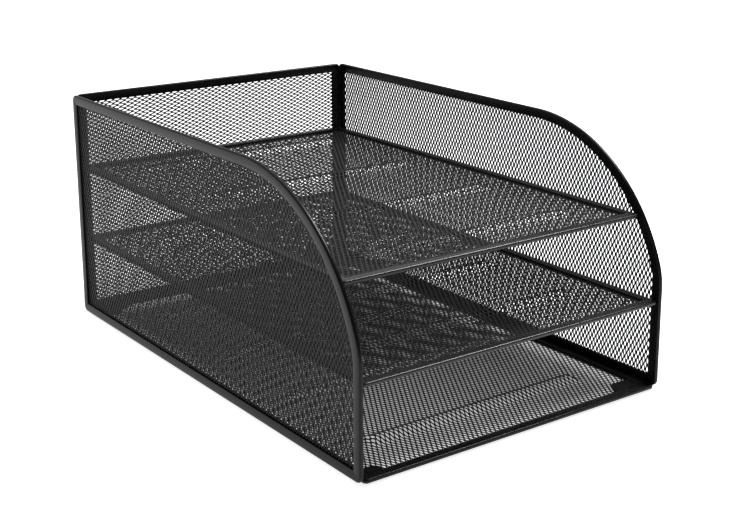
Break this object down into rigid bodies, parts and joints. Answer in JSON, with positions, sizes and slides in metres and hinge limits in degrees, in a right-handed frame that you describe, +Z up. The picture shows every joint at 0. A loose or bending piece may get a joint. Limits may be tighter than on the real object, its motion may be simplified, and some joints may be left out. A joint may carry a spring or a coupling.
{
  "type": "letter tray",
  "caption": "Desktop letter tray of black expanded steel mesh, with a base tray, a middle shelf and an upper shelf between D-shaped side panels, open at the front and the top.",
  "frame": {"origin": "centre of the tray's footprint, on the surface that its feet stand on", "axes": "+X to the right seen from the open front, +Y from the front to the back panel, +Z up"},
  "size_m": [0.238, 0.36, 0.1677],
  "materials": {
    "rim_coating": "satin black powder coat on folded steel strip",
    "mesh_coating": "satin black powder coat on expanded steel mesh",
    "gusset_coating": "satin black powder coat on flat sheet steel",
    "foot_rubber": "matt black rubber"
  },
  "bodies": {
    "root": {"left_side_rim": "rim_coating", "right_side_rim": "rim_coating", "back_rim": "rim_coating", "bottom_rim": "rim_coating", "middle_shelf_rim": "rim_coating", "upper_shelf_rim": "rim_coating", "left_side_mesh": "mesh_coating", "right_side_mesh": "mesh_coating", "back_mesh": "mesh_coating", "bottom_mesh": "mesh_coating", "middle_shelf_mesh": "mesh_coating", "upper_shelf_mesh": "mesh_coating", "front_left_gusset": "gusset_coating", "front_right_gusset": "gusset_coating", "rear_left_gusset": "gusset_coating", "rear_right_gusset": "gusset_coating", "front_left_foot": "foot_rubber", "front_right_foot": "foot_rubber", "rear_left_foot": "foot_rubber", "rear_right_foot": "foot_rubber"}
  },
  "joints": []
}
